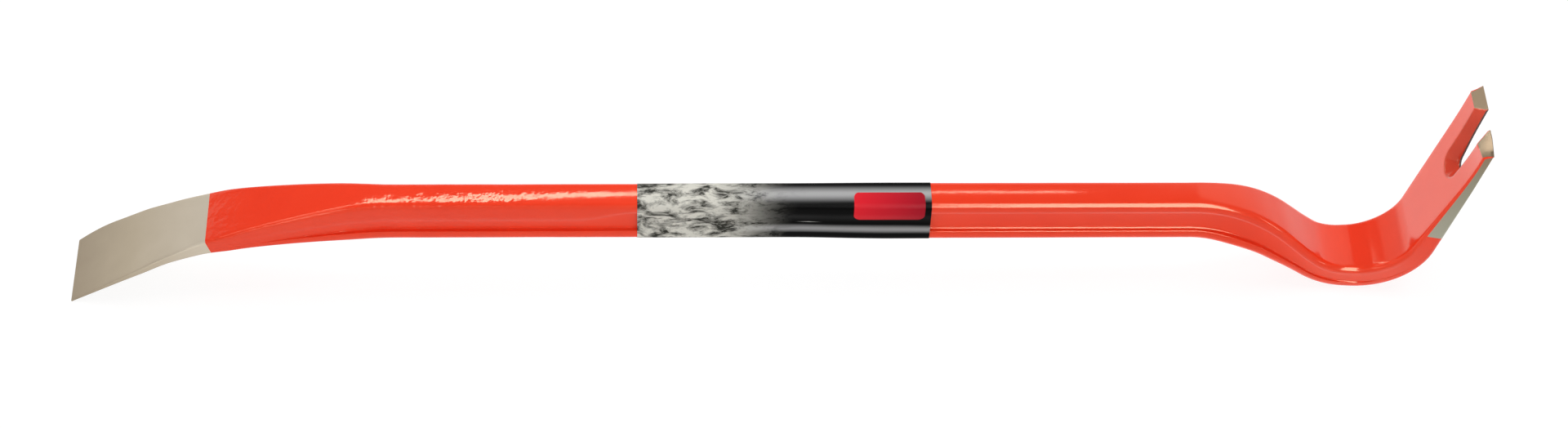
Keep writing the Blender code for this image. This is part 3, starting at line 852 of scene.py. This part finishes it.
def enamel_paint(name, darker, lighter):
    """Stoving enamel, sprayed thick over forged steel, where it runs into a wet gloss.

    The eye sees a faint orange peel, a slow change of depth from place to place, and the hammer's
    dents that the coat doesn't fill. The resin is slightly amber, which makes the sheen warm.
    """
    material, add, shader = new_material(name)
    place = add("TexCoord").outputs["Object"]
    depth = add("TexNoise", Vector=place, Scale=1 / (24 * MILLIMETRE), Detail=2.0)
    colour = add("Mix", COLOURS, Factor=depth, _6=linear(darker), _7=linear(lighter))
    peel = add("TexNoise", Vector=place, Scale=1 / (2.2 * MILLIMETRE), Detail=1.0)
    dents = add("TexNoise", Vector=place, Scale=1 / (6 * MILLIMETRE), Detail=2.0, Roughness=0.6)
    grain = add("UVMap", {"uv_map": "grain"})
    along = add("SeparateXYZ", Vector=grain).outputs["X"]
    forged = add("MapRange", SMOOTH, Value=along, From_Min=DENTS_FADE[0], From_Max=DENTS_FADE[1],
                 To_Min=1.0, To_Max=DENTS_LEFT)
    relief = add("Math", "MULTIPLY", _0=dents, _1=forged)
    dented = add("Bump", Height=relief, Strength=1.0, Distance=0.35 * MILLIMETRE)
    bump = add("Bump", Height=peel, Strength=1.0, Distance=0.006 * MILLIMETRE, Normal=dented)
    set_inputs(shader, Base_Color=colour, Normal=bump, Roughness=0.12, IOR=1.5,
               Specular_Tint=linear("#FFF2D0"))
    return material


def ground_steel(length):
    """Tool steel ground bright on a belt: satin, streaked along the bar, and warm where it was tempered.

    The streaks are drawn 0.7 mm wide. A belt's real ones are finer, and would be lost from here.
    """
    material, add, shader = new_material("ground_tool_steel")
    grain = add("UVMap", {"uv_map": "grain"})
    streak = (30 * MILLIMETRE, 0.7 * MILLIMETRE)
    streaked = add("Mapping", Vector=grain, Scale=(1 / streak[0], 1 / streak[1], 1.0))
    streaks = add("TexNoise", Vector=streaked, Scale=1.0, Detail=3.0)
    clouds = add("TexNoise", Vector=grain, Scale=1 / (18 * MILLIMETRE), Detail=2.0)
    along = add("SeparateXYZ", Vector=grain).outputs["X"]
    wander = add("Math", "MULTIPLY_ADD", _0=clouds, _1=TINT_WANDER, _2=-TINT_WANDER / 2)
    tinted = add("Math", "ADD", _0=along, _1=wander)
    tint = add("ValToRGB", Fac=add("Math", "DIVIDE", _0=tinted, _1=length))
    stops = tint.color_ramp.elements
    while len(stops) < len(TEMPER_TINTS):
        stops.new(0.5)
    # Moving a stop puts the stops in order again, so the colours come after all the moves.
    for stop, (distance, colour) in zip(stops, TEMPER_TINTS):
        stop.position = distance / length
    for stop, (distance, colour) in zip(stops, TEMPER_TINTS):
        stop.color = linear(colour)
    bump = add("Bump", Height=streaks, Strength=0.3, Distance=0.02 * MILLIMETRE)
    set_inputs(shader, Base_Color=tint, Normal=bump, Metallic=1.0, Roughness=0.4)
    return material


def land_painted_shade():
    """Painted shade on the slot's land: brown-black and dull, mottled in flakes."""
    material, add, shader = new_material("land_painted_shade")
    place = add("TexCoord").outputs["Object"]
    flakes = add("TexNoise", Vector=place, Scale=1 / (3 * MILLIMETRE), Detail=3.0)
    colour = add("Mix", COLOURS, Factor=flakes, _6=linear("#3A2A26"), _7=linear("#6A4A42"))
    set_inputs(shader, Base_Color=colour, Roughness=0.55)
    return material


def printed_film():
    """Polypropylene film, printed in several inks and laminated silk-matt, so that it mirrors little.

    The print shows layered stone that runs into black, soft grey bands painted as highlights, thin pale rules
    and a red field that darkens towards the claw.
    """
    material, add, shader = new_material("printed_polypropylene_film")
    place = add("TexCoord").outputs["Object"]
    axes = add("SeparateXYZ", Vector=place)
    # The stone has clouds of 6 mm and cracks of 4.5 mm, layered askew to the bar.
    layered = add("Mapping", Vector=place, Rotation=(0.0, 0.45, 0.45), Scale=(0.45, 1.0, 1.0))
    clouds = add("TexNoise", Vector=layered, Scale=1 / (6 * MILLIMETRE), Detail=6.0, Roughness=0.70,
                 Distortion=0.5)
    ridges = add("TexNoise", {"noise_type": "RIDGED_MULTIFRACTAL"}, Vector=layered,
                 Scale=1 / (4.5 * MILLIMETRE), Detail=4.0, Roughness=0.6, Distortion=0.4)
    light = add("MapRange", Value=clouds, From_Min=0.40, From_Max=0.57)
    whole = add("MapRange", Value=ridges, From_Min=0.55, From_Max=0.95, To_Min=1.0, To_Max=0.0)
    tone = add("Math", "MULTIPLY", _0=whole, _1=light)
    stone = add("Mix", COLOURS, Factor=tone, _6=linear("#34342F"), _7=linear("#D4D2C8"))
    ragged = add("Math", "MULTIPLY_ADD", _0=clouds, _1=BLACK_RAGGED, _2=axes.outputs["X"])
    fade = add("MapRange", SMOOTH, Value=ragged, From_Min=BLACK_FADE[0], From_Max=BLACK_FADE[1])
    # The black, with painted highlights laid along it as soft grey bands
    highlighted_black = linear("#050505")
    for axis, middle, reach, level in HIGHLIGHT_BANDS:
        off = add("Math", "SUBTRACT", _0=axes.outputs[axis], _1=middle)
        off = add("Math", "ABSOLUTE", _0=off)
        near = add("MapRange", SMOOTH, Value=off, From_Min=0.0, From_Max=reach, To_Min=1.0, To_Max=0.0)
        highlighted_black = add("Mix", COLOURS, Factor=near, _6=highlighted_black, _7=linear(level))
    printed = add("Mix", COLOURS, Factor=fade, _6=stone, _7=highlighted_black)
    front = add("Math", "LESS_THAN", _0=axes.outputs["Y"], _1=0.0)
    for middle, half_length in RULES:
        off = add("VectorMath", "SUBTRACT", _0=place, _1=(middle, 0.0, RULE_HEIGHT))
        off = add("VectorMath", "DIVIDE", _0=off, _1=(half_length, 1.0, RULE_WIDTH))
        off = add("VectorMath", "ABSOLUTE", _0=off)
        off = add("VectorMath", "DOT_PRODUCT", _0=off, _1=(1.0, 0.0, 1.0))
        inside = add("MapRange", Value=off, From_Min=0.5, From_Max=1.0, To_Min=1.0, To_Max=0.0)
        inside = add("Math", "MULTIPLY", _0=inside, _1=front)
        printed = add("Mix", COLOURS, Factor=inside, _6=printed, _7=linear("#B4B4B0"))
    fall = add("Math", "ADD", _0=axes.outputs["Y"], _1=axes.outputs["Z"])
    off = add("CombineXYZ", X=axes.outputs["X"], Y=fall)
    straight = tuple(max(0.0, reach - FIELD_CORNER) for reach in FIELD_REACH)
    off = add("VectorMath", "SUBTRACT", _0=off, _1=FIELD_MIDDLE)
    off = add("VectorMath", "ABSOLUTE", _0=off)
    off = add("VectorMath", "SUBTRACT", _0=off, _1=straight)
    off = add("VectorMath", "MAXIMUM", _0=off, _1=(0.0, 0.0, 0.0))
    off = add("VectorMath", "LENGTH", _0=off)
    inside = add("MapRange", Value=off, From_Min=FIELD_CORNER * (1 - FIELD_EDGE),
                 From_Max=FIELD_CORNER * (1 + FIELD_EDGE), To_Min=1.0, To_Max=0.0)
    inside = add("Math", "MULTIPLY", _0=inside, _1=front)
    along = add("MapRange", Value=axes.outputs["X"], From_Min=FIELD_MIDDLE[0] - FIELD_REACH[0],
                From_Max=FIELD_MIDDLE[0] + FIELD_REACH[0])
    red = add("Mix", COLOURS, Factor=along, _6=linear("#DE2430"), _7=linear("#A01828"))
    printed = add("Mix", COLOURS, Factor=inside, _6=printed, _7=red)
    set_inputs(shader, Base_Color=printed, Roughness=0.3, IOR=1.5, Specular_IOR_Level=0.04)
    return material


def add_floor():
    """A large sheet of white paper. Seen directly, it is plain white apart from its shadows."""
    data = bpy.data.meshes.new("paper_floor")
    corners = [(x * FLOOR_REACH, y * FLOOR_REACH, 0) for x, y in ((-1, -1), (1, -1), (1, 1), (-1, 1))]
    data.from_pydata(corners, [], [(0, 1, 2, 3)])
    material, add = new_material("white_background_paper")[:2]
    material.node_tree.nodes.clear()
    rays = add("LightPath")
    seen = rays.outputs["Is Camera Ray"]
    for name in ("Is Glossy Ray", "Is Transmission Ray"):
        seen = add("Math", "MAXIMUM", _0=seen, _1=rays.outputs[name])
    shade = add("Mix", COLOURS, Factor=seen, _6=linear(PAPER_LIGHTING), _7=linear(PAPER_SEEN))
    paper = add("BsdfDiffuse", Color=shade)
    place = add("SeparateXYZ", Vector=add("TexCoord").outputs["Object"])
    # Painted light and shade on the paper, only where the bar mirrors it; to the camera its glow stays even.
    level = add("Mix", _0=rays.outputs["Is Camera Ray"], _2=layered_levels(add, place, FLOOR_PAINTED_LEVELS), _3=1.0)
    lit = add("Math", "MULTIPLY", _0=seen, _1=level)
    glow = add("Emission", Strength=add("Math", "MULTIPLY", _0=lit, _1=FLOOR_GLOW))
    both = add("AddShader", _0=paper, _1=glow)
    add("OutputMaterial", Surface=both)
    data.materials.append(material)
    add_object("paper_floor", data)


def add_room():
    """Pale walls and a grey ceiling for the bar to mirror. Seen directly, the room is plain white."""
    world = bpy.data.worlds.new("studio")
    bpy.context.scene.world = world
    world.use_nodes = True
    world.node_tree.nodes.clear()
    add = partial(add_node, world.node_tree.nodes)
    axes = add("SeparateXYZ", Vector=add("TexCoord").outputs["Generated"])
    claw = layered_levels(add, axes, CLAW_WALL)
    sides = add("Mix", _0=claw, _2=layered_levels(add, axes, WALL_LEVELS),
                _3=layered_levels(add, axes, CLAW_WALL_LEVELS))
    lift = add("Math", "MULTIPLY", _0=claw, _1=CLAW_WALL_RISE)
    height = add("Math", "SUBTRACT", _0=axes.outputs["Z"], _1=lift)
    rise = add("MapRange", SMOOTH, Value=height, From_Min=WALL_TOP, From_Max=CEILING_START)
    walls = add("Mix", _0=rise, _2=sides, _3=CEILING_LEVEL)
    room, backdrop = (add("Background", Color=linear("#FFFFFF"), Strength=level) for level in (walls, 1.0))
    seen = add("LightPath").outputs["Is Camera Ray"]
    either = add("MixShader", _0=seen, _1=room, _2=backdrop)
    add("OutputWorld", Surface=either)


def add_softbox(name, start, end, width, radiance, use):
    """A lamp as long as the line between its two points, turned about that line to face the bar."""
    start, end = Vector(start), Vector(end)
    middle = (start + end) / 2
    run = (end - start).normalized()
    away = middle - Vector((middle.x, 0.0, SOFTBOX_AIM))
    away = (away - run * away.dot(run)).normalized()
    lamp = bpy.data.lights.new(name, "AREA")
    lamp.shape = "RECTANGLE"
    lamp.size = (end - start).length
    lamp.size_y = width
    lamp.energy = radiance * math.pi * lamp.size * width
    box = add_object(name, lamp)
    box.matrix_world = Matrix.Translation(middle) @ Matrix((run, away.cross(run), away)).transposed().to_4x4()
    box.visible_diffuse = use != "mirrored"
    box.visible_glossy = use != "lighting"


def add_camera():
    """The camera looks down by its lift, turned about its own upright axis and then rolled."""
    place = Matrix.Translation(CAMERA_AIM)
    for angle, axis in ((90 - CAMERA_LIFT, "X"), (CAMERA_TURN, "Y"), (CAMERA_ROLL, "Z")):
        place = place @ Matrix.Rotation(math.radians(angle), 4, axis)
    camera = add_object("camera", bpy.data.cameras.new("camera"))
    camera.data.sensor_width = 36.0
    camera.data.lens = CAMERA_LENS
    camera.matrix_world = place @ Matrix.Translation((0.0, 0.0, CAMERA_DISTANCE))
    bpy.context.scene.camera = camera


spine = Spine()
forging = Forging(spine)
coat = enamel_paint("red_gloss_enamel", "#EC361B", "#F43E21")
# A darker red on the slot's walls: painted shade in the narrow slot.
enamel_painted_shade = enamel_paint("red_enamel_painted_shade", "#CC3E2C", "#DE4A34")
bar = make_forging(forging, [coat, ground_steel(spine.length), land_painted_shade(), enamel_painted_shade])
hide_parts("forged_bar")
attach(bar, "root")
label = make_label(forging, printed_film())
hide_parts("label_sleeve")
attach(label, "root")
add_floor()
add_room()
for softbox in SOFTBOXES:
    add_softbox(*softbox)
add_camera()
bpy.context.scene.view_settings.view_transform = "Standard"
